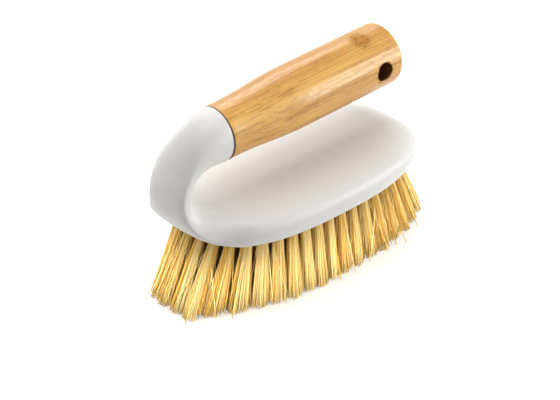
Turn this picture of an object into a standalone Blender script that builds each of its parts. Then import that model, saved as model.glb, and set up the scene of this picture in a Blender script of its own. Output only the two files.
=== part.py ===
"""Hand scrubbing brush: a moulded swan-neck body, a bamboo grip and a tufted underside.

The brush stands on its bristle tips at z = 0, with its grip along +X. The body is one
moulding: an oval sole whose heel sweeps up and over in a C and ends in a round collar.
A spigot on the collar holds the bamboo grip. A drilled tuft plate closes the sole.
"""

import math

import bmesh
import bpy
import numpy as np
from mathutils import Matrix, Vector

MM = 0.001
DEG = math.pi / 180

# Clearance between pieces that are seated on each other
SEAT_GAP = 0.3 * MM

# Sole: an oval slab, measured at its widest line
SOLE_LENGTH = 132 * MM
SOLE_WIDTH = 72 * MM
SOLE_THICKNESS = 12.7 * MM
SOLE_ROUNDNESS = 2.8
RIM_HEIGHT = 7 * MM
RIM_ROUNDNESS = 7.0
WALL_DEPTH = 10 * MM
SIDE_WALL_ROUNDNESS = 4.6
TOE_WALL_ROUNDNESS = 2.5
HEEL_WALL_ROUNDNESS = 1.5
FAN_CENTRE_X = 24 * MM

# Swan neck: it turns round a bend centre, from the sole over the heel to the collar
BEND_X = -45 * MM
BEND_ABOVE_SOLE = 9.5 * MM
COLLAR_RADIUS = 12.7 * MM
FINGER_GAP = 17.9 * MM
RIDGE_SWEEP = 64 * DEG
WAIST_SWEEP = 100 * DEG
WAIST_INNER_RADIUS = 17.4 * MM
WAIST_THICKNESS = 12.2 * MM
WAIST_WIDTH = 22.6 * MM
WAIST_RIDGE_SHARE = 0.71
WAIST_INNER_ROUNDNESS = 2.7
WAIST_SIDE_ROUNDNESS = 2.0
CIRCLE_ROUNDNESS = 2.0

# Spigot that the grip is glued to
SPIGOT_RADIUS = 8 * MM
SPIGOT_LENGTH = 28 * MM

# Grip
GRIP_LENGTH = 101 * MM
GRIP_TILT = 1.4 * DEG
GRIP_COLLAR_RADIUS = 12.6 * MM
GRIP_SWELL_LENGTH = 48 * MM
GRIP_END_RADIUS = 14.7 * MM
GRIP_END_ROUNDING = 2.6 * MM
GRIP_MOUTH_CHAMFER = 0.5 * MM
GRIP_SEAM = 0.7 * MM
GRIP_BORE_SPARE = 2 * MM
HANG_HOLE_RADIUS = 4.5 * MM
HANG_HOLE_FROM_END = 12.2 * MM

# Tuft plate, let into the underside
PLATE_ROUNDNESS = 2.5
BRISTLE_REACH = 34.8 * MM
WALL_AT_EDGE = 2.2 * MM
PLATE_THICKNESS = 4 * MM
PLATE_RECESS = 0.5 * MM
LEDGE_WIDTH = 4.5 * MM
ROOF_THICKNESS = 3 * MM

# Tufts: four rows, each an oval, from the plate's edge to its middle
TUFT_INSET = 3.9 * MM
ROW_PITCH = 7.8 * MM
OUTER_TUFTS = 40
INNER_ROW_TUFTS = (32, 24, 16)
TUFT_BORE_RADIUS = 2.5 * MM
TUFT_BORE_DEPTH = 3.2 * MM
OUTER_STRANDS = 5
STRAND_GAP = 0.22 * MM
ROW_GAP = 0.7 * MM
ROOT_SHARE = 0.58
END_FAN_SHARE = 0.29
HEEL_FAN_POWER = 4
TOE_FAN_POWER = 1.2
FAN_Y_SHARE = 0.97
TIP_SPREAD_SHARE = 1.75
TIP_SIZE_SHARE = 0.62
FIRST_TUFT_SHARE = 0.5
LEAN_JITTER = 0.35 * MM
OUTER_SEED = 7
INNER_SEED = 20

# Mesh densities
RIM_STEPS = 8
WALL_STEPS = 8
SOLE_COLUMNS = 24
NECK_COLUMNS = 24
GRIP_SIDES = 48
SWELL_STEPS = 8
BORE_SIDES = 10
HOLE_SIDES = 32
OVAL_STEPS = 96
OVAL_SAMPLES = 4000
CELL_STEPS = 2

# One overrun serves every cut
CUT_OVERRUN = 2 * MM
WELD_DISTANCE = 0.001 * MM
SHARP_ANGLE = 35 * DEG

# Worked out from the sizes above
SOLE_TOP = BRISTLE_REACH + SOLE_THICKNESS
RIDGE_Z = SOLE_TOP - RIM_HEIGHT
BEND_Z = SOLE_TOP + BEND_ABOVE_SOLE
COLLAR_INNER_RADIUS = FINGER_GAP - BEND_ABOVE_SOLE
COLLAR_CENTRE_RADIUS = COLLAR_INNER_RADIUS + COLLAR_RADIUS
BEND_SWEEP = math.pi + GRIP_TILT
PLATE_BOTTOM = BRISTLE_REACH + PLATE_RECESS
PLATE_TOP = PLATE_BOTTOM + PLATE_THICKNESS


def clear_scene():
    for obj in list(bpy.data.objects):
        bpy.data.objects.remove(obj, do_unlink=True)


def material(name, colour, roughness, metallic=0.0):
    mat = bpy.data.materials.new(name)
    mat.use_nodes = True
    shader = mat.node_tree.nodes["Principled BSDF"]
    shader.inputs["Base Color"].default_value = (*colour, 1.0)
    shader.inputs["Roughness"].default_value = roughness
    shader.inputs["Metallic"].default_value = metallic
    return mat


def add_object(name, bm, mat=None, smooth=False):
    mesh = bpy.data.meshes.new(name)
    bm.to_mesh(mesh)
    bm.free()
    if smooth:
        mesh.shade_smooth()
        mesh.set_sharp_from_angle(angle=SHARP_ANGLE)
    obj = bpy.data.objects.new(name, mesh)
    bpy.context.scene.collection.objects.link(obj)
    if mat:
        mesh.materials.append(mat)
    return obj


def as_cutter(obj):
    obj.hide_render = True
    obj.display_type = "WIRE"
    return obj


def cut(obj, cutter):
    boolean = obj.modifiers.new("cut by " + cutter.name, "BOOLEAN")
    boolean.operation = "DIFFERENCE"
    boolean.solver = "EXACT"
    boolean.object = cutter


def ease(start, end, share, slope=0.0):
    """A value that leaves start with the slope given and reaches end with none."""
    falling = 1 - share**3 * (10 - 15 * share + 6 * share**2)
    run_out = share * (1 - share) ** 3 * (1 + 3 * share)
    return start * falling + end * (1 - falling) + slope * run_out


def oval_point(half_length, half_width, angle, roundness=PLATE_ROUNDNESS):
    """A point of a superellipse, which the sole, the plate and the tuft rows follow."""
    c, s = math.cos(angle), math.sin(angle)
    x = half_length * math.copysign(abs(c) ** (2 / roundness), c)
    y = half_width * math.copysign(abs(s) ** (2 / roundness), s)
    return x, y


def oval_evenly(half_length, half_width, count, offset=0.0):
    """Points at equal steps along an oval, the first one offset steps past the toe."""
    turns = np.linspace(0, 2 * math.pi, OVAL_SAMPLES + 1)
    path = np.array([oval_point(half_length, half_width, turn) for turn in turns])
    run = np.concatenate([[0], np.cumsum(np.linalg.norm(np.diff(path, axis=0), axis=1))])
    wanted = (np.arange(count) + offset) * run[-1] / count
    xs = np.interp(wanted, run, path[:, 0])
    ys = np.interp(wanted, run, path[:, 1])
    return list(zip(xs.tolist(), ys.tolist()))


def wall_roundness(angle):
    """How square the wall is in section: most at the sides, less towards the toe and the heel."""
    along = math.cos(angle)
    end = TOE_WALL_ROUNDNESS if along > 0 else HEEL_WALL_ROUNDNESS
    return SIDE_WALL_ROUNDNESS + (end - SIDE_WALL_ROUNDNESS) * abs(along)


def sole_column(angle, side):
    """Points from the sole's middle line over the rim and down the wall, for one place on its outline."""
    edge_x, edge_y = oval_point(SOLE_LENGTH / 2, SOLE_WIDTH / 2, angle, SOLE_ROUNDNESS)
    middle_x = min(edge_x, FAN_CENTRE_X)
    points = []
    for i in range(RIM_STEPS + 1):
        turn = math.pi / 2 * i / RIM_STEPS
        out = math.sin(turn) ** (2 / RIM_ROUNDNESS)
        x = middle_x + (edge_x - middle_x) * out
        points.append((x, side * edge_y * out, RIDGE_Z + RIM_HEIGHT * math.cos(turn)))
    roundness = wall_roundness(angle)
    for i in range(1, WALL_STEPS + 1):
        turn = math.pi / 2 * i / WALL_STEPS
        out = math.cos(turn) ** (2 / roundness) if i < WALL_STEPS else 0.0
        down = math.sin(turn) ** (2 / roundness)
        x = middle_x + (edge_x - middle_x) * out
        points.append((x, side * edge_y * out, RIDGE_Z - WALL_DEPTH * down))
    return points


def root_angle():
    """The place on the sole's outline where the neck takes over."""
    cosine = (-BEND_X / (SOLE_LENGTH / 2)) ** (SOLE_ROUNDNESS / 2)
    return math.pi - math.acos(cosine)


def neck_section(sweep):
    """Inner, ridge and outer radius, half width and the two roundnesses, at a sweep round the bend."""
    root_ridge = BEND_ABOVE_SOLE + RIM_HEIGHT
    waist_ridge = WAIST_INNER_RADIUS + WAIST_THICKNESS * WAIST_RIDGE_SHARE
    waist_outer = WAIST_INNER_RADIUS + WAIST_THICKNESS
    collar_outer = COLLAR_CENTRE_RADIUS + COLLAR_RADIUS
    root_width = oval_point(SOLE_LENGTH / 2, SOLE_WIDTH / 2, root_angle(), SOLE_ROUNDNESS)[1]
    root_roundness = wall_roundness(root_angle())
    reach = (-BEND_X / (SOLE_LENGTH / 2)) ** SOLE_ROUNDNESS
    outline_slope = root_width * reach / (1 - reach) / BEND_X
    fall = outline_slope * root_ridge * WAIST_SWEEP
    stations = (
        (BEND_ABOVE_SOLE, WAIST_INNER_RADIUS, COLLAR_INNER_RADIUS, WAIST_SWEEP, 0),
        (root_ridge, waist_ridge, COLLAR_CENTRE_RADIUS, RIDGE_SWEEP, 0),
        (root_ridge + WALL_DEPTH, waist_outer, collar_outer, WAIST_SWEEP, 0),
        (root_width, WAIST_WIDTH / 2, COLLAR_RADIUS, WAIST_SWEEP, fall),
        (RIM_ROUNDNESS, WAIST_INNER_ROUNDNESS, CIRCLE_ROUNDNESS, WAIST_SWEEP, 0),
        (root_roundness, WAIST_SIDE_ROUNDNESS, CIRCLE_ROUNDNESS, RIDGE_SWEEP, 0),
    )
    if sweep > WAIST_SWEEP:
        share = (sweep - WAIST_SWEEP) / (BEND_SWEEP - WAIST_SWEEP)
        return [ease(waist, collar, share) for _, waist, collar, _, _ in stations]
    return [
        ease(root, waist, min(sweep / arrival, 1), slope)
        for root, waist, _, arrival, slope in stations
    ]


def neck_column(sweep, side):
    """The same points as on the sole, for one half of the neck's section at a sweep round the bend."""
    inner, ridge, outer, width, over, under = neck_section(sweep)
    points = []
    for i in range(RIM_STEPS + 1):
        turn = math.pi / 2 * i / RIM_STEPS
        radius = ridge - (ridge - inner) * math.cos(turn)
        points.append((radius, width * math.sin(turn) ** (2 / over)))
    for i in range(1, WALL_STEPS + 1):
        turn = math.pi / 2 * i / WALL_STEPS
        out = math.cos(turn) ** (2 / under) if i < WALL_STEPS else 0.0
        radius = ridge + (outer - ridge) * math.sin(turn) ** (2 / under)
        points.append((radius, width * out))
    return [
        (BEND_X - radius * math.sin(sweep), side * y, BEND_Z - radius * math.cos(sweep))
        for radius, y in points
    ]


def body_columns(side):
    """All columns of one side, from the toe to the collar."""
    columns = [sole_column(root_angle() * i / SOLE_COLUMNS, side) for i in range(SOLE_COLUMNS)]
    columns += [neck_column(BEND_SWEEP * i / NECK_COLUMNS, side) for i in range(NECK_COLUMNS + 1)]
    return columns


def grip_axis():
    """The centre of the collar's face and the direction that the grip points in."""
    x = BEND_X - COLLAR_CENTRE_RADIUS * math.sin(BEND_SWEEP)
    z = BEND_Z - COLLAR_CENTRE_RADIUS * math.cos(BEND_SWEEP)
    return Vector((x, 0, z)), Vector((math.cos(GRIP_TILT), 0, math.sin(GRIP_TILT)))


def oval_prism(name, half_length, half_width, low, high):
    bm = bmesh.new()
    turns = [2 * math.pi * i / OVAL_STEPS for i in range(OVAL_STEPS)]
    outline = [oval_point(half_length, half_width, turn) for turn in turns]
    face = bm.faces.new([bm.verts.new((x, y, low)) for x, y in outline])
    grown = bmesh.ops.extrude_face_region(bm, geom=[face])["geom"]
    verts = [v for v in grown if isinstance(v, bmesh.types.BMVert)]
    bmesh.ops.translate(bm, verts=verts, vec=(0, 0, high - low))
    bmesh.ops.recalc_face_normals(bm, faces=bm.faces)
    return add_object(name, bm)


def plate_half_sizes():
    """Half length and half width of the pocket that the plate sits in."""
    depth = (RIDGE_Z - BRISTLE_REACH) / WALL_DEPTH
    at_side = (1 - depth**SIDE_WALL_ROUNDNESS) ** (1 / SIDE_WALL_ROUNDNESS)
    at_toe = (1 - depth**TOE_WALL_ROUNDNESS) ** (1 / TOE_WALL_ROUNDNESS)
    toe_x = FAN_CENTRE_X + (SOLE_LENGTH / 2 - FAN_CENTRE_X) * at_toe
    return toe_x - WALL_AT_EDGE, SOLE_WIDTH / 2 * at_side - WALL_AT_EDGE


def make_body(mat):
    bm = bmesh.new()
    for side in (-1, 1):
        columns = [[bm.verts.new(p) for p in column] for column in body_columns(side)]
        for first, second in zip(columns, columns[1:]):
            for i in range(len(first) - 1):
                bm.faces.new((first[i], second[i], second[i + 1], first[i + 1]))
    bmesh.ops.remove_doubles(bm, verts=bm.verts, dist=WELD_DISTANCE)
    bmesh.ops.dissolve_degenerate(bm, edges=bm.edges, dist=WELD_DISTANCE)
    spigot_from_collar(bm)
    everything = list(bm.verts) + list(bm.edges) + list(bm.faces)
    low = (0, 0, BRISTLE_REACH)
    bmesh.ops.bisect_plane(bm, geom=everything, plane_co=low, plane_no=(0, 0, 1), clear_inner=True)
    rim = [e for e in bm.edges if e.is_boundary]
    bmesh.ops.edgeloop_fill(bm, edges=rim)
    bmesh.ops.recalc_face_normals(bm, faces=bm.faces)
    body = add_object("body_shell", bm, mat, smooth=True)
    half_length, half_width = plate_half_sizes()
    seat = oval_prism(
        "plate_pocket_cutter", half_length, half_width,
        BRISTLE_REACH - CUT_OVERRUN, PLATE_TOP + SEAT_GAP,
    )
    core = oval_prism(
        "core_cutter", half_length - LEDGE_WIDTH, half_width - LEDGE_WIDTH,
        BRISTLE_REACH - CUT_OVERRUN, SOLE_TOP - ROOF_THICKNESS,
    )
    for cutter in (seat, core):
        cut(body, as_cutter(cutter))
    return body


def spigot_from_collar(bm):
    """Closes the collar's open end with a shoulder and the spigot that enters the grip."""
    centre, axis = grip_axis()
    loop = [e for e in bm.edges if e.is_boundary]
    for radius, advance in ((SPIGOT_RADIUS, 0), (SPIGOT_RADIUS, SPIGOT_LENGTH)):
        grown = bmesh.ops.extrude_edge_only(bm, edges=loop)["geom"]
        loop = [e for e in grown if isinstance(e, bmesh.types.BMEdge)]
        for v in (v for v in grown if isinstance(v, bmesh.types.BMVert)):
            across = v.co - centre
            across -= axis * across.dot(axis)
            v.co = centre + across.normalized() * radius + axis * advance
    bmesh.ops.edgeloop_fill(bm, edges=loop)


def make_grip(mat):
    """A turned grip along its own X that swells from the collar, bored and drilled across for hanging."""
    length, end_radius = GRIP_LENGTH, GRIP_END_RADIUS
    bore_radius = SPIGOT_RADIUS + SEAT_GAP
    bore_depth = SPIGOT_LENGTH - GRIP_SEAM + GRIP_BORE_SPARE
    swell = [
        (
            GRIP_MOUTH_CHAMFER + (GRIP_SWELL_LENGTH - GRIP_MOUTH_CHAMFER) * i / SWELL_STEPS,
            ease(GRIP_COLLAR_RADIUS, end_radius, i / SWELL_STEPS),
        )
        for i in range(SWELL_STEPS + 1)
    ]
    rounding = [
        (
            length - GRIP_END_ROUNDING * (1 - math.sin(math.pi / 2 * i / RIM_STEPS)),
            end_radius - GRIP_END_ROUNDING * (1 - math.cos(math.pi / 2 * i / RIM_STEPS)),
        )
        for i in range(RIM_STEPS + 1)
    ]
    profile = [
        (bore_depth, 0),
        (bore_depth, bore_radius),
        (0, bore_radius),
        (0, GRIP_COLLAR_RADIUS - GRIP_MOUTH_CHAMFER),
        *swell,
        *rounding,
        (length, 0),
    ]
    bm = bmesh.new()
    verts = [bm.verts.new((x, 0, r)) for x, r in profile]
    edges = [bm.edges.new(pair) for pair in zip(verts, verts[1:])]
    bmesh.ops.spin(
        bm, geom=verts + edges, cent=(0, 0, 0), axis=(1, 0, 0),
        angle=2 * math.pi, steps=GRIP_SIDES, use_merge=True,
    )
    bmesh.ops.remove_doubles(bm, verts=bm.verts, dist=WELD_DISTANCE)
    bmesh.ops.recalc_face_normals(bm, faces=bm.faces)
    grip = add_object("bamboo_grip", bm, mat, smooth=True)
    centre, axis = grip_axis()
    place = Matrix.Translation(centre + axis * GRIP_SEAM) @ Matrix.Rotation(-GRIP_TILT, 4, "Y")
    grip.matrix_world = place
    bm = bmesh.new()
    bmesh.ops.create_cone(
        bm, cap_ends=True, segments=HOLE_SIDES, radius1=HANG_HOLE_RADIUS,
        radius2=HANG_HOLE_RADIUS, depth=2 * (end_radius + CUT_OVERRUN),
    )
    hole = as_cutter(add_object("hang_hole_cutter", bm))
    across = Matrix.Rotation(math.pi / 2, 4, "X")
    hole.matrix_world = place @ Matrix.Translation((length - HANG_HOLE_FROM_END, 0, 0)) @ across
    cut(grip, hole)
    return grip


def row_half_sizes(row):
    """Half length and half width of a tuft row's centre line, row 0 being the outer one."""
    half_length, half_width = plate_half_sizes()
    inset = SEAT_GAP + TUFT_INSET + ROW_PITCH * row
    return half_length - inset, half_width - inset


def outer_tuft_places():
    return oval_evenly(*row_half_sizes(0), OUTER_TUFTS, FIRST_TUFT_SHARE)


def make_plate(mat):
    """The plate's outer band, with a bore for each outer tuft."""
    half_length, half_width = (size - SEAT_GAP for size in plate_half_sizes())
    plate = oval_prism("tuft_plate", half_length, half_width, PLATE_BOTTOM, PLATE_TOP)
    plate.data.materials.append(mat)
    inner_length, inner_width = (size - ROW_PITCH / 2 for size in row_half_sizes(0))
    middle = oval_prism(
        "plate_middle_cutter", inner_length, inner_width,
        PLATE_BOTTOM - CUT_OVERRUN, PLATE_TOP + CUT_OVERRUN,
    )
    bm = bmesh.new()
    for x, y in outer_tuft_places():
        bmesh.ops.create_cone(
            bm, cap_ends=True, segments=BORE_SIDES, radius1=TUFT_BORE_RADIUS,
            radius2=TUFT_BORE_RADIUS, depth=2 * TUFT_BORE_DEPTH,
            matrix=Matrix.Translation((x, y, PLATE_BOTTOM)),
        )
    bores = add_object("tuft_bore_cutter", bm)
    for cutter in (middle, bores):
        cut(plate, as_cutter(cutter))
    return plate


def grow_strands(bm, face, tip_centre):
    """Splits a tuft's root face into triangles and draws a strand from each, down to z = 0."""
    root_centre = face.calc_center_median()
    slices = bmesh.ops.poke(bm, faces=[face])["faces"]
    bmesh.ops.inset_individual(bm, faces=slices, thickness=STRAND_GAP)
    for root in slices:
        strand = bmesh.ops.extrude_discrete_faces(bm, faces=[root])["faces"][0]
        middle = strand.calc_center_median()
        away = (middle - root_centre) * TIP_SPREAD_SHARE
        goal = Vector((tip_centre[0] + away.x, tip_centre[1] + away.y, 0))
        for v in strand.verts:
            v.co = goal + Vector((v.co.x - middle.x, v.co.y - middle.y, 0)) * TIP_SIZE_SHARE


def tip_of(x, y, dice):
    """Where a tuft that is rooted at x, y meets the floor: tufts fan out most at the two ends."""
    lean = dice.uniform(-LEAN_JITTER, LEAN_JITTER, 2)
    reach = row_half_sizes(0)[0]
    power = TOE_FAN_POWER if x > 0 else HEEL_FAN_POWER
    away = math.copysign(END_FAN_SHARE * reach * (abs(x) / reach) ** power, x)
    return x + away + lean[0], y * FAN_Y_SHARE + lean[1]


def make_outer_tufts(mat):
    """One tuft for each bore of the plate, with the slice of backing that fills its bore."""
    plug_radius = TUFT_BORE_RADIUS * math.cos(math.pi / BORE_SIDES) - SEAT_GAP
    plug_length = TUFT_BORE_DEPTH - SEAT_GAP
    dice = np.random.default_rng(OUTER_SEED)
    tufts = []
    for i, (x, y) in enumerate(outer_tuft_places()):
        bm = bmesh.new()
        turn = Matrix.Rotation(dice.uniform(0, 2 * math.pi), 4, "Z")
        middle = Matrix.Translation((x, y, PLATE_BOTTOM + plug_length / 2))
        bmesh.ops.create_cone(
            bm, cap_ends=True, segments=OUTER_STRANDS, radius1=plug_radius,
            radius2=plug_radius, depth=plug_length, matrix=middle @ turn,
        )
        bmesh.ops.recalc_face_normals(bm, faces=bm.faces)
        root = min(bm.faces, key=lambda f: f.calc_center_median().z)
        grow_strands(bm, root, tip_of(x, y, dice))
        tufts.append(add_object(f"tuft_outer_{i + 1:02d}", bm, mat))
    return tufts


def make_inner_row(row, count, mat):
    """A row of tufts on its own slice of the backing: a closed oval band with one cell for each tuft."""
    half_length, half_width = row_half_sizes(row)
    reach = (ROW_PITCH - ROW_GAP) / 2
    innermost = row == len(INNER_ROW_TUFTS)
    steps = count * CELL_STEPS
    outer = oval_evenly(half_length + reach, half_width + reach, steps)
    if innermost:
        inner = [(x * (half_length - reach) / (half_length + reach), 0.0) for x, y in outer]
    else:
        inner = oval_evenly(half_length - reach, half_width - reach, steps)
    levels = ((inner, PLATE_BOTTOM), (outer, PLATE_BOTTOM), (outer, PLATE_TOP), (inner, PLATE_TOP))
    bm = bmesh.new()
    loops = [[bm.verts.new((x, y, z)) for x, y in points] for points, z in levels]
    for first, second in ((1, 2), (2, 3)) if innermost else ((1, 2), (2, 3), (3, 0)):
        for i in range(steps):
            j = (i + 1) % steps
            bm.faces.new((loops[first][i], loops[first][j], loops[second][j], loops[second][i]))
    roots = []
    for cell in range(count):
        run = [(cell * CELL_STEPS + i) % steps for i in range(CELL_STEPS + 1)]
        inside = [loops[0][i] for i in run]
        outside = [loops[1][i] for i in run]
        corners_of_cell = (inside[0], outside[0], outside[-1], inside[-1])
        middle = sum((v.co for v in corners_of_cell), Vector()) / len(corners_of_cell)
        near_in, near_out, far_out, far_in = (
            bm.verts.new(middle.lerp(v.co, ROOT_SHARE)) for v in corners_of_cell
        )
        bm.faces.new((*outside, far_out, near_out))
        bm.faces.new((*reversed(inside), near_in, far_in))
        bm.faces.new((inside[0], outside[0], near_out, near_in))
        bm.faces.new((outside[-1], inside[-1], far_in, far_out))
        roots.append(bm.faces.new((near_in, near_out, far_out, far_in)))
    bmesh.ops.remove_doubles(bm, verts=bm.verts, dist=WELD_DISTANCE)
    bmesh.ops.recalc_face_normals(bm, faces=bm.faces)
    dice = np.random.default_rng(INNER_SEED + row)
    for root in roots:
        middle = root.calc_center_median()
        grow_strands(bm, root, tip_of(middle.x, middle.y, dice))
    return add_object(f"tuft_row_{row + 1}", bm, mat)


def corners(objects):
    """The lowest and highest corner of the objects as modelled."""
    points = np.array([obj.matrix_world @ v.co for obj in objects for v in obj.data.vertices])
    return points.min(axis=0), points.max(axis=0)


def main():
    clear_scene()
    white = material("moulded_plastic", (0.80, 0.80, 0.78), 0.45)
    bamboo = material("bamboo", (0.68, 0.40, 0.13), 0.42)
    backing = material("plate_plastic", (0.74, 0.74, 0.72), 0.5)
    fibre = material("bristle", (0.80, 0.62, 0.27), 0.55)
    pieces = [make_body(white), make_grip(bamboo), make_plate(backing)]
    pieces += make_outer_tufts(fibre)
    pieces += [make_inner_row(i + 1, count, fibre) for i, count in enumerate(INNER_ROW_TUFTS)]
    bpy.context.view_layer.update()
    lowest, highest = corners(pieces)
    centre = bpy.data.objects.new("box_centre", None)
    bpy.context.scene.collection.objects.link(centre)
    for obj in list(bpy.context.scene.collection.objects):
        if obj is not centre:
            obj.parent = centre
    centre.location = (-(lowest[0] + highest[0]) / 2, 0, 0)
    bpy.context.view_layer.update()
    print("shift to the box's middle, mm:", round(centre.location.x / MM, 3))


main()
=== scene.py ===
# %% [markdown]
# A hand scrubbing brush with a bamboo grip.
# The brush has a white moulded body, whose heel sweeps up and over in a C, a turned bamboo grip
# on the end of that C, and a dense oval field of stiff straw-coloured bristles underneath.
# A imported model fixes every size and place. This script dresses it: the body is smoothed, the
# grip is turned afresh with a finer edge, and each plain tuft becomes a bundle of filaments.

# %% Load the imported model
import math

import bmesh
import bpy
import numpy as np
from mathutils import Matrix, Vector


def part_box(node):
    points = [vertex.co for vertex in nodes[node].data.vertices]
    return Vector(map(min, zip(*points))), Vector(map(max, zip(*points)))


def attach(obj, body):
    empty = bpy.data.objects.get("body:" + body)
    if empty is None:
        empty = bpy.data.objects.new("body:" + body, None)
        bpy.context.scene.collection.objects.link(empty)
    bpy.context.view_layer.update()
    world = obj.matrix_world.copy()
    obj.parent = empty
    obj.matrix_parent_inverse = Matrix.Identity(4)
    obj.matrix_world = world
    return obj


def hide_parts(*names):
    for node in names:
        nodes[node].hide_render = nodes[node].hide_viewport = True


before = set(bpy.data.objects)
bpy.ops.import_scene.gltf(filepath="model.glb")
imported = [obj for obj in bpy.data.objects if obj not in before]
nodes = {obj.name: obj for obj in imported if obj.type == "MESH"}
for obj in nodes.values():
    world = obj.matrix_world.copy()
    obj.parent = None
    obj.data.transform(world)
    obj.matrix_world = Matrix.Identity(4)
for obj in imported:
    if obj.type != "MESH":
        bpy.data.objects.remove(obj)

MM = 0.001
DEG = math.pi / 180
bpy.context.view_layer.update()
print("nodes in the packed model:", len(nodes))

# %% [markdown]
# The camera stands where the photographer stood: in front of the heel, on the brush's near side,
# and well above it. A long lens from a good distance keeps the brush's far end from shrinking
# much. The focal length is written in pixels of the picture, as a fit to a picture gives it, and
# Blender's lens is worked out from it for a sensor of the usual width.

# %% Camera
AIM = Vector((-41.9, -39.1, 61.9)) * MM
CAMERA_AZIMUTH = -42.8 * DEG
CAMERA_ELEVATION = 32.8 * DEG
CAMERA_DISTANCE = 864.3 * MM
FOCAL_PX = 2042.6
PICTURE_WIDTH_PX = 560
SENSOR_WIDTH = 36


def towards(azimuth, elevation):
    """The direction from the brush to a place at this azimuth and elevation."""
    level = math.cos(elevation)
    return Vector((math.sin(azimuth) * level, -math.cos(azimuth) * level, math.sin(elevation)))


back = towards(CAMERA_AZIMUTH, CAMERA_ELEVATION)
bpy.ops.object.camera_add(location=AIM + back * CAMERA_DISTANCE)
camera = bpy.context.object
camera.rotation_euler = (-back).to_track_quat("-Z", "Y").to_euler()
camera.data.sensor_width = SENSOR_WIDTH
camera.data.lens = FOCAL_PX / PICTURE_WIDTH_PX * SENSOR_WIDTH
bpy.context.scene.camera = camera
print("lens, mm:", round(camera.data.lens, 1))

# %% [markdown]
# A picture of goods on white is taken among large soft lamps, with less light from the camera's
# own side than from all the others. That gives a white thing its form: what faces the camera is a
# little grey, and every edge turns towards a lamp and brightens. Strong lamps stand on the right
# and behind, one hangs above, and weak ones fill in from the left and the front. Each is a square
# softbox aimed at the middle of the brush, and the world adds only a trace of light. The body
# keeps all of that from the bristles, so low strips with a narrow beam shine in beneath it.

# %% Lamps
LAMP_DISTANCE = 1.1
LAMP_SIDE = 0.6
MIDDLE = Vector((0, 0, 45)) * MM
SOFTBOXES = {
    "right_lamp": (48, 12, 8.7),
    "top_lamp": (0, 89, 6.5),
    "back_lamp": (180, 12, 4.0),
    "high_back_lamp": (150, 45, 4.4),
    "left_back_lamp": (-118, 50, 2.5),
    "left_rim_lamp": (-132, 8, 1.1),
    "front_lamp": (-20, 8, 0.5),
}
LOW_LAMP_DISTANCE = 0.45
LOW_LAMP_SIZE = (0.30, 0.016)
LOW_LAMP_BEAM = 5 * DEG
BRISTLE_MIDDLE = Vector((0, 0, 13)) * MM
LOW_LAMPS = {"front_strip": (5, 0.015), "heel_strip": (-80, 0.026)}


def lamp(name, target, way, distance, watts):
    """An area lamp that stands some distance away from its target and is aimed at it."""
    bpy.ops.object.light_add(type="AREA", location=target + way * distance)
    made = bpy.context.object
    made.name = name
    made.rotation_euler = (-way).to_track_quat("-Z", "Y").to_euler()
    made.data.energy = watts
    return made


for name, (azimuth, elevation, watts) in SOFTBOXES.items():
    way = towards(azimuth * DEG, elevation * DEG)
    softbox = lamp(name, MIDDLE, way, LAMP_DISTANCE, watts)
    softbox.data.size = LAMP_SIDE
for name, (azimuth, watts) in LOW_LAMPS.items():
    strip = lamp(name, BRISTLE_MIDDLE, towards(azimuth * DEG, 0), LOW_LAMP_DISTANCE, watts)
    strip.data.shape = "RECTANGLE"
    strip.data.size, strip.data.size_y = LOW_LAMP_SIZE
    strip.data.spread = LOW_LAMP_BEAM
    strip.visible_camera = False
bpy.context.scene.view_settings.view_transform = "Standard"
print("lamps:", len(SOFTBOXES) + len(LOW_LAMPS))

# %% [markdown]
# Shader nodes are easier to read as sums than as boxes and wires. Signal wraps an output socket
# and overloads the arithmetic operators, so that an expression such as 1 - mask * 0.5 adds the
# Math nodes by itself.

# %% A small language for materials: sums
class Signal:
    """An output socket that can stand in a sum."""

    def __init__(self, paint, socket):
        self.paint = paint
        self.socket = socket

    def math(self, operation, *others):
        return self.paint.node("Math", {"operation": operation}, dict(enumerate((self, *others))))

    def __add__(self, other):
        return self.math("ADD", other)

    def __sub__(self, other):
        return self.math("SUBTRACT", other)

    def __mul__(self, other):
        return self.math("MULTIPLY", other)

    def __rsub__(self, other):
        return self.paint.node("Math", {"operation": "SUBTRACT"}, {0: other, 1: self})

    __radd__ = __add__
    __rmul__ = __mul__

    def between(self, low, high):
        """0 below low, 1 above high and smooth in between."""
        settings = {"interpolation_type": "SMOOTHSTEP"}
        return self.paint.node("MapRange", settings, {0: self, 1: low, 2: high})


# %% [markdown]
# Paint holds one material or world. Its node method adds any node, sets it up and links it. The
# other methods are short names for what the finishes need often: the piece's own coordinates,
# a noise, a mix of two colours and a bump.

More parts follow.
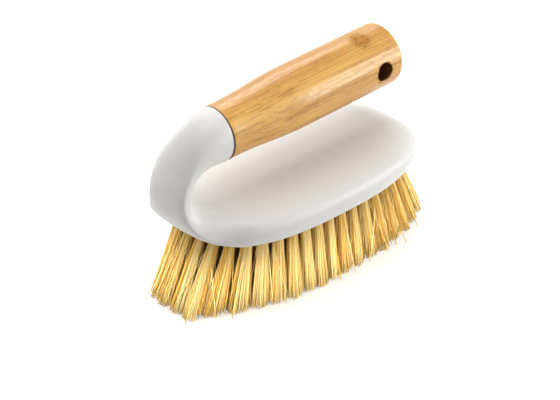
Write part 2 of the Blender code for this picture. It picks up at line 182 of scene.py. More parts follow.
# %% A small language for materials: nodes
class Paint:
    """One material or world, and the nodes that it is painted with."""

    def __init__(self, owner, shader="Principled BSDF"):
        self.owner = owner
        owner.use_nodes = True
        self.tree = owner.node_tree
        self.shader = self.tree.nodes[shader]

    def plug(self, socket, value):
        if isinstance(value, Signal):
            self.tree.links.new(value.socket, socket)
        else:
            socket.default_value = value

    def feed(self, sockets):
        """Sets or links sockets of the owner's own shader."""
        for name, value in sockets.items():
            self.plug(self.shader.inputs[name], value)

    def node(self, kind, settings, sockets, output=0):
        made = self.tree.nodes.new("ShaderNode" + kind)
        for name, value in settings.items():
            setattr(made, name, value)
        for name, value in sockets.items():
            self.plug(made.inputs[name], value)
        return Signal(self, made.outputs[output])

    def place(self, shift=(0, 0, 0), turn=(0, 0, 0), scale=(1, 1, 1)):
        """The piece's own coordinates, moved, turned and then scaled."""
        raw = self.node("TexCoord", {}, {}, "Object")
        settings = {"vector_type": "TEXTURE"}
        level = self.node("Mapping", settings, {"Vector": raw, "Location": shift, "Rotation": turn})
        return self.node("VectorMath", {"operation": "MULTIPLY"}, {0: level, 1: scale})

    def noise(self, vector, detail=2, roughness=0.5):
        sockets = {"Vector": vector, "Scale": 1.0, "Detail": detail, "Roughness": roughness}
        return self.node("TexNoise", {}, sockets)

    def length(self, vector):
        return self.node("VectorMath", {"operation": "LENGTH"}, {0: vector}, 1)

    def attribute(self, name):
        return self.node("Attribute", {"attribute_name": name}, {}, "Fac")

    def mix(self, share, first, second):
        """The first colour where share is 0 and the second where it is 1."""
        return self.node("Mix", {"data_type": "RGBA"}, {0: share, 6: first, 7: second}, 2)

    def bump(self, height, distance, strength):
        sockets = {"Height": height, "Distance": distance, "Strength": strength}
        return self.node("Bump", {}, sockets)


def new_paint(name, finish):
    paint = Paint(bpy.data.materials.new(name))
    paint.feed(finish)
    return paint


def rgb(red, green, blue):
    return (red, green, blue, 1.0)


# %% [markdown]
# The floor is a wide sheet of plain white. A white floor lit like the rest renders as a pale grey,
# so a little light is added to it where it is seen, by the camera or in a reflection. That lifts
# it to white and keeps the shadow that the brush casts. The lamps light only the middle of it, and
# so the lift grows to full white farther out. The world is white where it is seen, too.

# %% Floor and background
WORLD_LEVEL = 0.06
FLOOR_SIDE = 12
FLOOR_GREY = rgb(0.80, 0.80, 0.80)
FLOOR_LIFT = 0.43
LIT_RADIUS = 0.5


def seen_share(paint):
    """1 for the camera, for reflections and through clear things, and 0 for light that spreads."""
    rays = ("Camera", "Glossy", "Transmission")
    camera, glossy, clear = (paint.node("LightPath", {}, {}, f"Is {ray} Ray") for ray in rays)
    return (camera + glossy + clear).math("MINIMUM", 1)


def add_world():
    bpy.context.scene.world = bpy.data.worlds.new("bright_tent")
    sky = Paint(bpy.context.scene.world, "Background")
    level = WORLD_LEVEL + seen_share(sky) * (1 - WORLD_LEVEL)
    sky.feed({"Color": rgb(1, 1, 1), "Strength": level})


def add_floor():
    bpy.ops.mesh.primitive_plane_add(size=FLOOR_SIDE)
    floor = bpy.context.object
    floor.name = "floor"
    white = new_paint("floor_white", {"Base Color": FLOOR_GREY, "Roughness": 1.0})
    unlit = white.length(white.place()).between(LIT_RADIUS, 2 * LIT_RADIUS)
    lift = seen_share(white) * (FLOOR_LIFT + unlit * (1 - FLOOR_LIFT))
    white.feed({"Emission Color": rgb(1, 1, 1), "Emission Strength": lift})
    floor.data.materials.append(white.owner)


add_world()
add_floor()
print("floor, m wide:", FLOOR_SIDE)

# %% [markdown]
# Most pieces are modelled as by hand: a shape is added, parts of it are selected, and an
# operator acts on the selection. With a mouse the selection is a click. In code it is a test,
# such as every edge on the rim, so a helper selects whatever passes a test.

# %% Helpers for modelling
SMOOTH_ANGLE = 35 * DEG


def only(piece):
    """Selects one piece and nothing else."""
    bpy.ops.object.select_all(action="DESELECT")
    piece.select_set(True)
    bpy.context.view_layer.objects.active = piece


def new_piece(name, mesh):
    piece = bpy.data.objects.new(name, mesh)
    mesh.name = name
    bpy.context.scene.collection.objects.link(piece)
    only(piece)
    return piece


def edit(piece, kind):
    """Opens a piece for editing its VERT, EDGE or FACE elements, with nothing selected."""
    only(piece)
    bpy.ops.object.mode_set(mode="EDIT")
    bpy.ops.mesh.select_mode(type=kind)
    bpy.ops.mesh.select_all(action="DESELECT")


def close():
    bpy.ops.object.mode_set(mode="OBJECT")


def pick(piece, elements, test):
    """Selects the verts, edges or faces that pass a test, in edit mode, and counts them."""
    bm = bmesh.from_edit_mesh(piece.data)
    bpy.ops.mesh.select_all(action="DESELECT")
    chosen = [e for e in getattr(bm, elements) if test(e)]
    for e in chosen:
        e.select_set(True)
    bmesh.update_edit_mesh(piece.data)
    return len(chosen)


def finish_with(piece, kind, **settings):
    """Adds a modifier and applies it."""
    only(piece)
    modifier = piece.modifiers.new(kind.lower(), kind)
    for name, value in settings.items():
        setattr(modifier, name, value)
    bpy.ops.object.modifier_apply(modifier=modifier.name)


def smooth_by_angle(piece):
    only(piece)
    bpy.ops.object.shade_smooth_by_angle(angle=SMOOTH_ANGLE)


def hand_in(piece, paint, slot, *replaced):
    """Gives a piece its finish, hides the nodes that it stands for and attaches it to the root."""
    piece.data.materials.clear()
    piece.data.materials.append(paint.owner)
    if replaced:
        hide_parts(*replaced)
    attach(piece, "root")


# %% [markdown]
# The body is one plastic moulding, so it shows no joints, and its curvature runs on from the
# sole into the neck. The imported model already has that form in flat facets. A copy of it is merged
# and its triangles are paired into squares again, because subdivision rounds squares evenly.
# The underside is taken off first, so that its flat triangles can't pull the wall out of shape,
# and the collar's sharp rim gets a narrow bevel, so that it stays crisp.
# At the heel the real moulding ends rounder than a plain wall, so the foot of the neck is tucked
# in a little, and the part above it swells out a little.

# %% Body: the outer skin
WELD = 0.002 * MM
PAIR_ANGLE = 50 * DEG
COLLAR_EDGE = 0.35 * MM
SHARP = 40 * DEG
HEEL_CENTRE_X = -38 * MM
HEEL_REACH = 18 * MM
TUCK_HEIGHT = 12 * MM
HEEL_TUCK = 1.5 * MM
SWELL_HEIGHT = 36 * MM
HEEL_SWELL = 0.8 * MM
rim_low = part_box("body_shell")[0].z


def skin_faces(bm, level):
    """The faces that are reached from the top of the body without crossing its bottom edge."""
    start = max(bm.faces, key=lambda face: face.calc_center_median().z)
    found = {start}
    front = [start]
    while front:
        face = front.pop()
        for edge in face.edges:
            if all(v.co.z < level for v in edge.verts):
                continue
            new = [f for f in edge.link_faces if f not in found]
            found.update(new)
            front.extend(new)
    return found


def make_skin():
    body = new_piece("white_body", nodes["body_shell"].data.copy())
    edit(body, "FACE")
    bpy.ops.mesh.select_all(action="SELECT")
    bpy.ops.mesh.remove_doubles(threshold=WELD)
    bm = bmesh.from_edit_mesh(body.data)
    skin = skin_faces(bm, rim_low + WELD)
    pick(body, "faces", lambda face: face not in skin)
    bpy.ops.mesh.delete(type="FACE")
    bpy.ops.mesh.select_all(action="SELECT")
    bpy.ops.mesh.tris_convert_to_quads(face_threshold=PAIR_ANGLE, shape_threshold=PAIR_ANGLE)
    bpy.ops.mesh.select_mode(type="EDGE")
    bpy.ops.mesh.select_all(action="DESELECT")
    bpy.ops.mesh.edges_select_sharp(sharpness=SHARP)
    bpy.ops.mesh.bevel(offset=COLLAR_EDGE, segments=2)
    close()
    finish_with(body, "SUBSURF", levels=2, render_levels=2)
    return body


def round_heel(body):
    """Swells the heel a little above its foot and tucks the foot in, so that it ends round."""
    heel = Vector((HEEL_CENTRE_X, 0, 0))
    for vert in body.data.vertices:
        outwards = vert.co - heel
        outwards.z = 0
        weight = min(max(-outwards.x / HEEL_REACH, 0), 1) ** 2
        height = vert.co.z - rim_low
        tuck = max(1 - height / TUCK_HEIGHT, 0) ** 2 * HEEL_TUCK
        swell = math.sin(math.pi * min(max(height / SWELL_HEIGHT, 0), 1)) * HEEL_SWELL
        vert.co += outwards.normalized() * weight * (swell - tuck)


body = make_skin()
round_heel(body)
print("faces in the body's skin:", len(body.data.polygons))

# %% [markdown]
# The sole ends below in a small rounded lip, then a pocket that the tuft plate is let into. The
# open edge of the skin is cut level a little above its end. The fillet, the lip and the wall
# of the pocket then grow from that edge, each as one extrusion that is drawn inwards.

# %% Body: the rounded lip and the pocket
LIP_FILLET = 0.5 * MM
FILLET_STEPS = 4
LIP_WIDTH = 2.2 * MM
POCKET_PLAY = 0.3 * MM
plate_low, plate_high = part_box("tuft_plate")
pocket_top = plate_high.z + POCKET_PLAY


def grow_edge(piece, centre, half_sizes, inwards, upwards):
    """Extrudes the selected edge, draws it inwards and raises it, and gives its new half sizes."""
    bpy.ops.mesh.extrude_edges_move(TRANSFORM_OT_translate={"value": (0, 0, upwards)})
    smaller = [size - inwards for size in half_sizes]
    scale = (smaller[0] / half_sizes[0], smaller[1] / half_sizes[1], 1)
    bpy.ops.transform.resize(value=scale, center_override=centre)
    return smaller


def close_underside(body):
    level = rim_low + LIP_FILLET
    edit(body, "EDGE")
    bpy.ops.mesh.select_all(action="SELECT")
    bpy.ops.mesh.bisect(
        plane_co=(0, 0, level), plane_no=(0, 0, 1), clear_inner=True, threshold=WELD
    )
    pick(body, "edges", lambda edge: edge.is_boundary)
    rim = [v.co for v in bmesh.from_edit_mesh(body.data).verts if v.select]
    low = Vector(map(min, zip(*rim)))
    high = Vector(map(max, zip(*rim)))
    centre = (low + high) / 2
    sizes = [(high.x - low.x) / 2, (high.y - low.y) / 2]
    for step in range(FILLET_STEPS):
        before, after = (math.pi / 2 * (step + i) / FILLET_STEPS for i in (0, 1))
        inwards = LIP_FILLET * (math.cos(before) - math.cos(after))
        downwards = LIP_FILLET * (math.sin(after) - math.sin(before))
        sizes = grow_edge(body, centre, sizes, inwards, -downwards)
    sizes = grow_edge(body, centre, sizes, LIP_WIDTH - LIP_FILLET, 0)
    grow_edge(body, centre, sizes, 0, pocket_top - rim_low)
    bpy.ops.mesh.edge_face_add()
    bpy.ops.mesh.select_all(action="SELECT")
    bpy.ops.mesh.normals_make_consistent(inside=False)
    close()
    smooth_by_angle(body)
    return sizes


lip = close_underside(body)
print("opening in the underside, mm:", [round(2 * size / MM, 1) for size in lip])

# %% [markdown]
# The plastic is a satin off-white. It isn't a mirror and isn't chalk: a medium roughness gives the
# wide soft lights on the neck. A moulded skin is never quite even, so a broad noise shifts its
# tone and roughness a little, and a very fine one raises the tool's faint spark-eroded texture.

# %% Finish of the white plastic
CLOUDS_PER_METRE = (60, 60, 60)
SPARKS_PER_METRE = (2600, 2600, 2600)
SPARK_DEPTH = 0.01 * MM
DULL_WHITE = rgb(0.70, 0.695, 0.68)
BRIGHT_WHITE = rgb(0.73, 0.722, 0.70)


def white_plastic():
    paint = new_paint("satin_white", {"Specular IOR Level": 0.5})
    broad = paint.noise(paint.place(scale=CLOUDS_PER_METRE), detail=3)
    fine = paint.noise(paint.place(scale=SPARKS_PER_METRE), detail=1)
    tone = paint.mix(broad, DULL_WHITE, BRIGHT_WHITE)
    relief = paint.bump(fine, SPARK_DEPTH, 0.35)
    paint.feed({"Base Color": tone, "Roughness": 0.38 + broad * 0.10, "Normal": relief})
    return paint


satin_white = white_plastic()
hand_in(body, satin_white, "white_plastic", "body_shell")
print("shader nodes in the white plastic:", len(satin_white.tree.nodes))

# %% [markdown]
# The grip is a bar turned from laminated bamboo. It swells from the collar over about half its
# length and is even from there on. It is modelled lying along X from its mouth at the origin: a
# cylinder is bevelled at both ends, its long sides are cut into rings, and each ring is drawn in
# to the radius that the bar has there. The small faces also give the drilled hole a clean edge.

# %% Grip: the turned bar
GRIP_SIDES = 128
GRIP_RINGS = 60
GRIP_LENGTH = 101 * MM
MOUTH_RADIUS = 12.6 * MM
SWELL_LENGTH = 48 * MM
END_RADIUS = 14.7 * MM
END_ROUNDING = 2.6 * MM
END_SEGMENTS = 10
MOUTH_CHAMFER = 0.5 * MM
EDGE_SEGMENTS = 3
TOUCH = 0.01 * MM
ALONG_X = (0, math.pi / 2, 0)
ALONG_Y = (math.pi / 2, 0, 0)


def cylinder(name, radius, depth, sides, location, turn):
    bpy.ops.object.select_all(action="DESELECT")
    bpy.ops.mesh.primitive_cylinder_add(
        vertices=sides, radius=radius, depth=depth, location=location, rotation=turn
    )
    made = bpy.context.object
    made.name = name
    made.data.name = name
    bpy.ops.object.transform_apply(location=True, rotation=True, scale=True)
    return made


def bar_radius(x):
    """The bar's radius at a place along it: it leaves both ends of the swell without a kink."""
    share = min(max((x - MOUTH_CHAMFER) / (SWELL_LENGTH - MOUTH_CHAMFER), 0), 1)
    swell = share**3 * (10 - 15 * share + 6 * share**2)
    return MOUTH_RADIUS + (END_RADIUS - MOUTH_RADIUS) * swell


def swell_rings(grip):
    """Draws each ring of points in from the bar's full width to its radius there."""
    points = bmesh.from_edit_mesh(grip.data).verts
    rings = sorted({round(v.co.x / MM, 3) * MM for v in points})
    for x in (ring for ring in rings if ring < SWELL_LENGTH):
        pick(grip, "verts", lambda vert: abs(vert.co.x - x) < TOUCH)
        wanted = bar_radius(x) / END_RADIUS
        bpy.ops.transform.resize(value=(1, wanted, wanted), center_override=(x, 0, 0))


def make_bar():
    middle = (GRIP_LENGTH / 2, 0, 0)
    grip = cylinder("turned_grip", END_RADIUS, GRIP_LENGTH, GRIP_SIDES, middle, ALONG_X)
    edit(grip, "EDGE")
    pick(grip, "edges", lambda edge: min(v.co.x for v in edge.verts) > GRIP_LENGTH / 2)
    bpy.ops.mesh.bevel(offset=END_ROUNDING, segments=END_SEGMENTS, clamp_overlap=False)
    pick(grip, "edges", lambda edge: max(v.co.x for v in edge.verts) < GRIP_LENGTH / 2)
    bpy.ops.mesh.bevel(offset=MOUTH_CHAMFER, segments=EDGE_SEGMENTS, clamp_overlap=False)
    pick(grip, "edges", lambda edge: abs(edge.verts[0].co.x - edge.verts[1].co.x) > GRIP_LENGTH / 2)
    bpy.ops.mesh.subdivide(number_cuts=GRIP_RINGS)
    bpy.ops.mesh.select_mode(type="VERT")
    swell_rings(grip)
    close()
    return grip


grip = make_bar()
print("faces on the turned bar:", len(grip.data.polygons))

# %% [markdown]
# A blind bore in the mouth takes the collar's spigot, and a hole across the other end is for
# hanging. Both are cut with cylinders, as a drill would. A cut leaves a knife-sharp edge, which on
# the real grip is sanded off, and so the edge of the hanging hole is rounded afterwards.

# %% Grip: the bore and the hanging hole
BORE_RADIUS = 8.3 * MM
BORE_DEPTH = 29 * MM
BORE_SIDES = 64
HOLE_RADIUS = 4.5 * MM
HOLE_FROM_END = 12.2 * MM
HOLE_SIDES = 72
HOLE_ROUNDING = 0.5 * MM
HOLE_CENTRE = Vector((GRIP_LENGTH - HOLE_FROM_END, 0, 0))


def carve(piece, cutter):
    finish_with(piece, "BOOLEAN", operation="DIFFERENCE", solver="EXACT", object=cutter)
    bpy.data.objects.remove(cutter)


def round_hole(grip):
    """Breaks the sharp edge of the hanging hole."""

    def on_hole(vert):
        return abs(math.hypot(vert.co.x - HOLE_CENTRE.x, vert.co.z) - HOLE_RADIUS) < TOUCH

    def is_brim(edge):
        return all(on_hole(v) for v in edge.verts) and edge.calc_face_angle(0) > SHARP / 2

    edit(grip, "EDGE")
    count = pick(grip, "edges", is_brim)
    bpy.ops.mesh.bevel(offset=HOLE_ROUNDING, segments=EDGE_SEGMENTS, clamp_overlap=False)
    close()
    return count


carve(grip, cylinder("bore", BORE_RADIUS, 2 * BORE_DEPTH, BORE_SIDES, (0, 0, 0), ALONG_X))
carve(grip, cylinder("hole", HOLE_RADIUS, 4 * END_RADIUS, HOLE_SIDES, HOLE_CENTRE, ALONG_Y))
print("edges round the hole:", round_hole(grip))

# %% [markdown]
# On the real brush the grip isn't quite level: it rises a little towards its free end. So the
# finished bar is tilted, and moved to its seat on the collar. The seat is read from the packed
# grip, because the middle of its mouth lies between the highest and the lowest points there.

# %% Grip: its seat on the collar
GRIP_TILT = 1.4 * DEG


def mouth_centre():
    """The middle of the grip's mouth, from the rings of points at its low end."""
    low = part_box("bamboo_grip")[0].x
    reach = low + MOUTH_CHAMFER + 2 * MOUTH_RADIUS * math.sin(GRIP_TILT)
    heights = [v.co.z for v in nodes["bamboo_grip"].data.vertices if v.co.x < reach]
    middle = (min(heights) + max(heights)) / 2
    return Vector((low + MOUTH_RADIUS * math.sin(GRIP_TILT), 0, middle))


grip.rotation_euler = (0, -GRIP_TILT, 0)
grip.location = mouth_centre()
only(grip)
bpy.ops.object.transform_apply(location=True, rotation=True, scale=True)
smooth_by_angle(grip)
print("mouth of the grip, mm:", [round(c / MM, 2) for c in mouth_centre()])

# %% [markdown]
# Bamboo board is glued up from strips a few millimetres thick, each with its own tone. Along a
# strip run fine fibres, and between them short dark dashes, where the vessels are cut open. All of
# it follows from the grip's own coordinates, turned so that X runs along the bar, and so the cut
# end and the drilled hole show the same strips. Noise that is stretched along X gives the fibres
# and the dashes: each GRAIN says how many steps of noise a metre has along and across the bar.

# %% Bamboo: strips, fibres and vessels
STRIP_THICKNESS = 5.6 * MM
STRIP_WIDTH = 17 * MM
STRIP_SHIFT = Vector((0, 6.2 * MM, 1.1 * MM))
STRIP_GRAIN = (0.001, 1 / STRIP_WIDTH, 1 / STRIP_THICKNESS)
FIBRE_GRAIN = (20, 1150, 1150)
CLOUD_GRAIN = (17, 150, 150)
DASH_GRAIN = (240, 2500, 2500)
LIGHT_BAMBOO = rgb(0.83, 0.49, 0.12)
MID_BAMBOO = rgb(0.62, 0.29, 0.045)
DARK_BAMBOO = rgb(0.36, 0.125, 0.010)
VESSEL_BROWN = rgb(0.25, 0.085, 0.007)


def along_bar(paint, grain):
    """Coordinates that count a grain's steps along and across the bar."""
    return paint.place(mouth_centre() - STRIP_SHIFT, (0, -GRIP_TILT, 0), grain)


def clean_bamboo(paint, fibre, dash):
    """The colour of the strips, with their fibres and open vessels."""
    strip = paint.node("VectorMath", {"operation": "FLOOR"}, {0: along_bar(paint, STRIP_GRAIN)})
    tone = paint.node("TexWhiteNoise", {"noise_dimensions": "3D"}, {"Vector": strip})
    cloud = paint.noise(along_bar(paint, CLOUD_GRAIN), detail=3)
    depth = (tone * 0.4 + cloud * 0.95).between(0.35, 0.95)
    strips = paint.mix(depth, LIGHT_BAMBOO, MID_BAMBOO)
    streaks = paint.mix(fibre.between(0.44, 0.66) * 0.65, strips, DARK_BAMBOO)
    vessels = dash.between(0.56, 0.66) * cloud.between(0.36, 0.56)
    return paint.mix(vessels * 0.5, streaks, VESSEL_BROWN)


# %% [markdown]
# Here and there a strip has a node, where the cane had a joint: a mottled patch in which the fibres
# twist and darken. This grip has one near its end. Its share is 1 in the middle of the patch
# and fades with the distance from there. The wall of the drilled hole and the cut mouth are painted
# dark brown: painted shade deep in the hole and in the gap of the seam, over end grain that is a
# little darker there too. Their shares come from distances in the same way.

# %% Bamboo: node, and painted shade in the hole and at the mouth
NODE_MARK = Vector((83.6, -3.5, 14.3)) * MM
NODE_REACH = Vector((5.6, 6.4, 5.6)) * MM
NODE_GRAIN = (1100, 600, 600)
NODE_BROWN = rgb(0.25, 0.075, 0.003)
HOLE_REACH = (HOLE_RADIUS, 1, HOLE_RADIUS)
# The dark brown of the hole's wall and of the mouth is painted shade.
HOLE_SHADE_BROWN = rgb(0.13, 0.038, 0.007)
# How far from the mouth the painted shade of the seam reaches.
MOUTH_SHADE_DEPTH = 0.45 * MM


def near(paint, centre, reach):
    """The distance from a place on the bar, in units of its reach along each axis."""
    place = mouth_centre() + Matrix.Rotation(-GRIP_TILT, 3, "Y") @ centre
    return paint.length(paint.place(place, (0, -GRIP_TILT, 0), [1 / size for size in reach]))


def marked_bamboo(paint, clean, node):
    """Clean bamboo with the node's mark, and painted shade in the hole and at the mouth."""
    mottle = paint.noise(along_bar(paint, NODE_GRAIN), detail=2).between(0.49, 0.57)
    browned = paint.mix(node * 0.45, clean, DARK_BAMBOO)
    marked = paint.mix(node * mottle * 0.65, browned, NODE_BROWN)
    # Painted shade on the wall of the hanging hole.
    hole_shade = 1 - near(paint, HOLE_CENTRE, HOLE_REACH).between(1.0, 1.04)
    drilled = paint.mix(hole_shade, marked, HOLE_SHADE_BROWN)
    # Painted shade of the seam on the mouth's chamfer, over end grain that is a little darker.
    from_mouth = along_bar(paint, (1 / MOUTH_SHADE_DEPTH, 1, 1))
    mouth_shade = 1 - paint.node("SeparateXYZ", {}, {0: from_mouth}).between(0.6, 1.2)
    return paint.mix(mouth_shade, drilled, HOLE_SHADE_BROWN)


# %% [markdown]
# The lacquer has sunk into the open vessels, and so its gloss is broken into small ticks across
# the bar, like faint marks of the lathe. A node drinks it up and stays dull. The lacquer is a
# coat over the wood, and the wood beneath shines a little too, in a warm tone.

# %% Bamboo: relief and lacquer
TICK_GRAIN = (2000, 420, 420)
FIBRE_HEIGHT = 0.05 * MM
WARM_GLOSS = rgb(1.0, 0.90, 0.72)


def bamboo():
    paint = new_paint("lacquered_bamboo", {"Coat Roughness": 0.14, "Specular Tint": WARM_GLOSS})
    fibre = paint.noise(along_bar(paint, FIBRE_GRAIN), detail=4, roughness=0.62)
    dash = paint.noise(along_bar(paint, DASH_GRAIN), detail=1)
    ticks = paint.noise(along_bar(paint, TICK_GRAIN), detail=2).between(0.50, 0.60)
    node = 1 - near(paint, NODE_MARK, NODE_REACH).between(0.55, 1.15)
    paint.feed({
        "Base Color": marked_bamboo(paint, clean_bamboo(paint, fibre, dash), node),
        "Roughness": 0.34 + fibre * 0.2 + node * 0.3,
        "Coat Weight": (0.25 + ticks * 0.7) * (1 - node * 0.9),
        "Normal": paint.bump(fibre * 0.6 + dash * 0.4, FIBRE_HEIGHT, 0.4),
    })
    return paint


lacquered = bamboo()
hand_in(grip, lacquered, "bamboo", "bamboo_grip")
print("shader nodes in the bamboo:", len(lacquered.tree.nodes))

# %% [markdown]
# Between the collar and the grip runs a thin dark line, where the glue and the shadow of the gap
# show. A ring sits in that gap round the spigot, a little below both surfaces, and its near-black
# colour is partly the glue and partly painted shade of the gap.

# %% Glue line and painted shade of the seam
SEAM = 0.7 * MM
SEAM_PLAY = 0.05 * MM
GLUE_DEPTH = 0.2 * MM
GLUE_SIDES = 96
GLUE_GRAIN = (900, 900, 900)
GLUE_AND_SHADE_DARK = rgb(0.035, 0.017, 0.009)
GLUE_AND_SHADE_LIGHT = rgb(0.075, 0.038, 0.018)


def make_glue_and_shade_line():
    axis = Vector((math.cos(GRIP_TILT), 0, math.sin(GRIP_TILT)))
    centre = mouth_centre() - axis * SEAM / 2
    turn = (0, math.pi / 2 - GRIP_TILT, 0)
    width = SEAM - 2 * SEAM_PLAY
    ring = cylinder("glue_and_shade_line", MOUTH_RADIUS - GLUE_DEPTH, width, GLUE_SIDES, centre, turn)
    carve(ring, cylinder("spigot_bore", BORE_RADIUS, 4 * width, BORE_SIDES, centre, turn))
    smooth_by_angle(ring)
    dark = new_paint("glue_and_painted_shade", {"Roughness": 0.6})
    grain = dark.noise(dark.place(scale=GLUE_GRAIN))
    # The ring's near-black is partly glue and partly painted shade of the gap.
    dark.feed({"Base Color": dark.mix(grain, GLUE_AND_SHADE_DARK, GLUE_AND_SHADE_LIGHT)})
    hand_in(ring, dark, "bamboo")
    print("glue line, mm wide:", round(width / MM, 2))


make_glue_and_shade_line()

# %% [markdown]
# The tufts sit in four oval rows. The outline of the rows is a superellipse, a curve between an
# ellipse and a rectangle. Its points are spread at equal steps along the curve, because equal steps
# of the angle would crowd them at the ends. The plate is a slab of the same outline, drilled once
# for each tuft, and it stands for the plate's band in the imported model.

# %% Tuft plate
OVAL_ROUNDNESS = 2.5
OVAL_SAMPLES = 2000
TUFT_INSET = 3.9 * MM
ROW_PITCH = 7.8 * MM
ROW_TUFTS = (40, 32, 24, 16)
TUFT_RADIUS = 2.3 * MM
TUFT_DEPTH = 3.2 * MM
PLATE_SIDES = 160
DRILL_SIDES = 20
plate_middle = (plate_low + plate_high) / 2
plate_half = (plate_high - plate_low) / 2


def oval(half_length, half_width, count, first=0.0):
    """Points at equal steps along a superellipse round the plate's middle."""
    turns = np.linspace(0, 2 * np.pi, OVAL_SAMPLES + 1)
    power = 2 / OVAL_ROUNDNESS
    x = half_length * np.sign(np.cos(turns)) * np.abs(np.cos(turns)) ** power
    y = half_width * np.sign(np.sin(turns)) * np.abs(np.sin(turns)) ** power
    run = np.concatenate([[0], np.cumsum(np.hypot(np.diff(x), np.diff(y)))])
    wanted = (np.arange(count) + first) * run[-1] / count
    path = np.stack([np.interp(wanted, run, x), np.interp(wanted, run, y)], axis=1)
    return path + [plate_middle.x, plate_middle.y]


def row_places(row):
    """The tufts of a row, row 0 being the outer one. Each row is staggered to the last."""
    inset = TUFT_INSET + ROW_PITCH * row
    first = 0.5 if row % 2 == 0 else 1.0
    return oval(plate_half.x - inset, plate_half.y - inset, ROW_TUFTS[row], first)


def make_plate():
    bpy.ops.mesh.primitive_circle_add(vertices=PLATE_SIDES, radius=1, fill_type="NGON")
    plate = bpy.context.object
    plate.name = "drilled_plate"
    for vert, point in zip(plate.data.vertices, oval(plate_half.x, plate_half.y, PLATE_SIDES)):
        vert.co = (*point, plate_low.z)
    edit(plate, "FACE")
    bpy.ops.mesh.select_all(action="SELECT")
    thickness = (0, 0, plate_high.z - plate_low.z)
    bpy.ops.mesh.extrude_region_move(TRANSFORM_OT_translate={"value": thickness})
    bpy.ops.mesh.select_all(action="SELECT")
    bpy.ops.mesh.normals_make_consistent(inside=False)
    close()
    drills = []
    for x, y in np.concatenate([row_places(row) for row in range(len(ROW_TUFTS))]):
        place = (x, y, plate_low.z)
        drill = cylinder("drill", TUFT_RADIUS, 2 * TUFT_DEPTH, DRILL_SIDES, place, (0, 0, 0))
        drills.append(drill)
    for drill in drills:
        drill.select_set(True)
    bpy.ops.object.join()
    carve(plate, bpy.context.object)
    smooth_by_angle(plate)
    return plate


plate = make_plate()
hand_in(plate, satin_white, "plate_plastic", "tuft_plate")
print("tufts:", sum(ROW_TUFTS))

# %% [markdown]
# A tuft is a bundle of about a hundred stiff filaments, folded in half and driven into its bore.
# Each filament is a thin tube of four sides with a flat cut end. It runs from its place in the
# bore to its place at the tips, with a slight bow. Placing nearly ten thousand tubes by hand is
# out of the question, so NumPy works out all their points at once and one mesh takes a whole tuft.
# Two attributes travel with the points: shade, which is the filament's own tone, and along,
# which runs from 0 at the root to 1 at the tip.

# %% Filaments
FILAMENT_RADIUS = 0.25 * MM
FILAMENT_STEPS = 5
SIDES = 4
dice = np.random.default_rng(11)


def filaments(name, roots, tips, bows, radius=FILAMENT_RADIUS, palest=0.0):
    """A mesh of filaments from roots to tips, each bowed sideways, none darker than palest."""
    count = len(roots)
    share = np.linspace(0, 1, FILAMENT_STEPS + 1)[None, :, None]
    centre = roots[:, None] * (1 - share) + tips[:, None] * share
    centre = centre + bows[:, None] * 4 * share * (1 - share)
    turns = 2 * np.pi * np.arange(SIDES) / SIDES + dice.uniform(0, np.pi, (count, 1))
    ring = np.stack([np.cos(turns), np.sin(turns), np.zeros_like(turns)], axis=2)
    points = centre[:, :, None] + ring[:, None] * radius
    rings = FILAMENT_STEPS + 1
    first = np.arange(count * rings * SIDES).reshape(count, rings, SIDES)
    ahead = np.roll(first, -1, axis=2)
    sides = np.stack([first[:, :-1], first[:, 1:], ahead[:, 1:], ahead[:, :-1]], axis=3)
    caps = np.concatenate([first[:, 0], first[:, -1, ::-1]])
    faces = np.concatenate([sides.reshape(-1, SIDES), caps])
    mesh = bpy.data.meshes.new(name)
    mesh.from_pydata(points.reshape(-1, 3).tolist(), [], faces.tolist())
    smooth = np.arange(len(faces)) < count * FILAMENT_STEPS * SIDES
    mesh.polygons.foreach_set("use_smooth", smooth)
    each = rings * SIDES
    values = {
        "shade": np.repeat(dice.uniform(palest, 1, count), each),
        "along": np.tile(np.repeat(share.ravel(), SIDES), count),
    }
    for key, value in values.items():
        attribute = mesh.attributes.new(key, "FLOAT", "POINT")
        attribute.data.foreach_set("value", value.astype(np.float32))
    return new_piece(name, mesh)


# %% [markdown]
# In a bore the filaments lie packed like seeds in a sunflower: each one turns on from the last
# by the golden angle, and its distance from the middle grows with a square root, which spreads them
# evenly. Towards the tips the bundle opens, each tuft by its own amount, and the whole field fans
# out, most at the heel and the toe. Each filament strays a little, and one in twenty strays far.
# They are cut level with the floor, and a few end slightly above it.

# %% Bundles
GOLDEN_ANGLE = math.pi * (3 - math.sqrt(5))
ROOT_RADIUS = 1.8 * MM
ROOT_DEPTH = 0.8 * MM
ROOT_Z = plate_low.z + ROOT_DEPTH
HEEL_FAN = 16.5 * MM
HEEL_FAN_POWER = 4
TOE_FAN = 15.0 * MM
TOE_FAN_POWER = 1.2
FAN_Y = 1.06
OPENING = (1.85, 2.3)
LEAN = 0.4 * MM
STRAY = 0.12 * MM
WILD_SHARE = 0.05
WILD_STRAY = 2.2 * MM
BOW = 0.04 * MM
SHORTEST = 2.2 * MM


def fanned(places):
    """Where the field's places come to lie at the tips: it fans out most at its two ends."""
    x, y = places[..., 0] - plate_middle.x, places[..., 1] - plate_middle.y
    share = np.minimum(np.abs(x) / (plate_half.x - TUFT_INSET), 1)
    away = np.where(x > 0, TOE_FAN * share**TOE_FAN_POWER, -HEEL_FAN * share**HEEL_FAN_POWER)
    return places + np.stack([away, y * (FAN_Y - 1)], axis=-1)


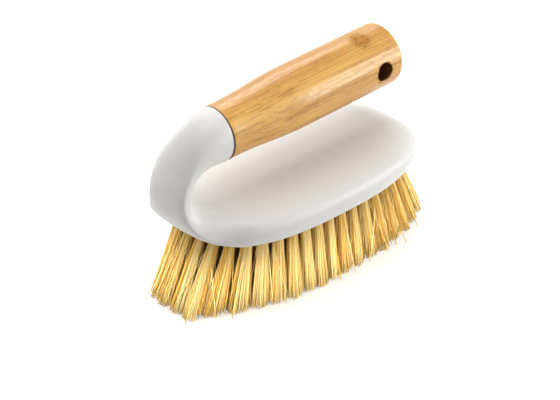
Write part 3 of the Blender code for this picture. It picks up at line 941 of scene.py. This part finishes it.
def bundle(place, count, root_radius=ROOT_RADIUS):
    """Roots, tips and bows of one tuft's filaments."""
    number = np.arange(count)
    turns = number * GOLDEN_ANGLE + dice.uniform(0, 2 * np.pi)
    reach = root_radius * np.sqrt((number + 0.5) / count)
    around = np.stack([reach * np.cos(turns), reach * np.sin(turns)], axis=1)
    opening = dice.uniform(*OPENING)
    lean = dice.normal(0, LEAN, 2)
    wild = dice.uniform(0, 1, (count, 1)) < WILD_SHARE
    stray = dice.normal(0, 1, (count, 2)) * np.where(wild, WILD_STRAY, STRAY)
    end = fanned(place + around * opening) + lean + stray
    short = SHORTEST * dice.uniform(0, 1, count) ** 3
    roots = np.column_stack([place + around, np.full(count, ROOT_Z)])
    tips = np.column_stack([end, short])
    bows = np.column_stack([dice.normal(0, BOW, (count, 2)), np.zeros(count)])
    return roots, tips, bows


# %% [markdown]
# The filament is a stiff straw-coloured fibre, slightly glossy. Each has its own tone
# between pale straw and gold. The brown between the tufts is mostly the shade of the inner rows,
# where light has bounced from filament to filament and taken colour each time. The along
# attribute adds painted shade to that: towards its root a filament is painted darker, the inner
# ones far more.

# %% Finish of the bristles
PALE_STRAW = rgb(0.95, 0.76, 0.33)
GOLD_STRAW = rgb(0.80, 0.49, 0.10)
ROOT_SHADE_STRAW = rgb(0.32, 0.11, 0.006)
STRAW_GLOSS = rgb(1.0, 0.80, 0.42)


def straw(name, depth, gloss):
    """Straw whose root end is painted darker by depth, as painted shade where the tufts around it
    keep the light away.
    """
    paint = new_paint(name, {"Specular IOR Level": gloss, "Specular Tint": STRAW_GLOSS})
    shade, along = paint.attribute("shade"), paint.attribute("along")
    tone = paint.mix(shade.between(0.3, 0.7), GOLD_STRAW, PALE_STRAW)
    root_shaded = paint.mix((1 - along.between(0.0, 0.9)) * depth, tone, ROOT_SHADE_STRAW)
    paint.feed({"Base Color": root_shaded, "Roughness": 0.42 + shade * 0.16})
    return paint


outer_straw = straw("straw_filament", 0.15, 0.35)
# The inner rows are a shaded copy of the straw, with far more painted shade towards the root.
inner_shaded_straw = straw("inner_straw_filament", 1.0, 0.1)
print("shader nodes in the straw:", len(outer_straw.tree.nodes))

# %% [markdown]
# The outer tufts are what the brush shows from every side. Each is a node of its own in the packed
# model, and so each becomes a piece of its own that replaces that node.

# %% Outer tufts
OUTER_FILAMENTS = 95


def make_outer_tufts():
    for number, place in enumerate(row_places(0), 1):
        roots, tips, bows = bundle(place, OUTER_FILAMENTS)
        tuft = filaments(f"bristles_outer_{number:02d}", roots, tips, bows)
        hand_in(tuft, outer_straw, "bristle", f"tuft_outer_{number:02d}")


make_outer_tufts()
print("filaments in the outer row:", ROW_TUFTS[0] * OUTER_FILAMENTS)

# %% [markdown]
# The inner tufts are seen only through the gaps of the outer row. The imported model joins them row
# by row, and so one piece holds all the tufts of a row. Their roots are a little wider, which
# closes the last clear lines of sight through the field.

# %% Inner rows
INNER_FILAMENTS = 80
INNER_ROOT_RADIUS = 2.1 * MM


def make_inner_rows():
    for row in range(1, len(ROW_TUFTS)):
        parts = [bundle(place, INNER_FILAMENTS, INNER_ROOT_RADIUS) for place in row_places(row)]
        roots, tips, bows = (np.concatenate(group) for group in zip(*parts))
        name = f"bristles_row_{row + 1}"
        tufts = filaments(name, roots, tips, bows)
        hand_in(tufts, inner_shaded_straw, "bristle", f"tuft_row_{row + 1}")


make_inner_rows()
print("filaments in the inner rows:", sum(ROW_TUFTS[1:]) * INNER_FILAMENTS)

# %% [markdown]
# A brush that has been packed always has a few bristles out of line. They lie slanted across their
# neighbours on the outside of the field. Each row below says where one starts and ends: a tuft,
# counted round the outer row and with shares between two tufts, how far down it, and how far
# outside the tufts the bristle lies there.

# %% Stray bristles
STRAYS = (
    ((20.8, 0.25, 1.0), (18.0, 0.89, 1.2)),
    ((21.8, 0.12, 0.5), (21.0, 0.90, 0.8)),
    ((22.0, 0.21, 0.5), (23.0, 0.98, 0.8)),
    ((25.5, 0.20, 0.5), (26.3, 0.84, 0.8)),
    ((18.8, 0.50, 0.0), (19.5, 1.00, 5.5)),
    ((33.6, 0.3, 0.3), (32.5, 1.0, 0.8)),
    ((37.2, 0.35, 0.3), (38.4, 0.97, 1.0)),
    ((8.4, 0.25, 0.4), (9.8, 0.95, 0.8)),
    ((2.6, 0.3, 0.4), (1.2, 0.9, 1.2)),
    ((13.2, 0.2, 0.4), (12.1, 1.0, 0.6)),
)
STRAY_RADIUS = 0.2 * MM
STRAY_BOW = 0.5 * MM


def beside_row(number, share, outside):
    """A place at a share of the way down the outer row, and the way out of the field there."""
    row = row_places(0)
    place = np.array([np.interp(number - 1, range(len(row)), row[:, i]) for i in (0, 1)])
    way_out = (place - [plate_middle.x, plate_middle.y]) / [plate_half.x**2, plate_half.y**2]
    way_out = way_out / np.linalg.norm(way_out)
    tuft_radius = ROOT_RADIUS * (1 + (np.mean(OPENING) - 1) * share)
    level = place + (fanned(place) - place) * share + way_out * (tuft_radius + outside * MM)
    return [*level, ROOT_Z * (1 - share)], [*way_out * STRAY_BOW, 0]


def make_strays():
    ends = [[beside_row(*end) for end in stray] for stray in STRAYS]
    starts, tips = (np.array([stray[i][0] for stray in ends]) for i in (0, 1))
    bows = np.array([stray[0][1] for stray in ends])
    strays = filaments("stray_bristles", starts, tips, bows, STRAY_RADIUS, palest=0.9)
    hand_in(strays, outer_straw, "bristle")


make_strays()
print("stray bristles:", len(STRAYS))
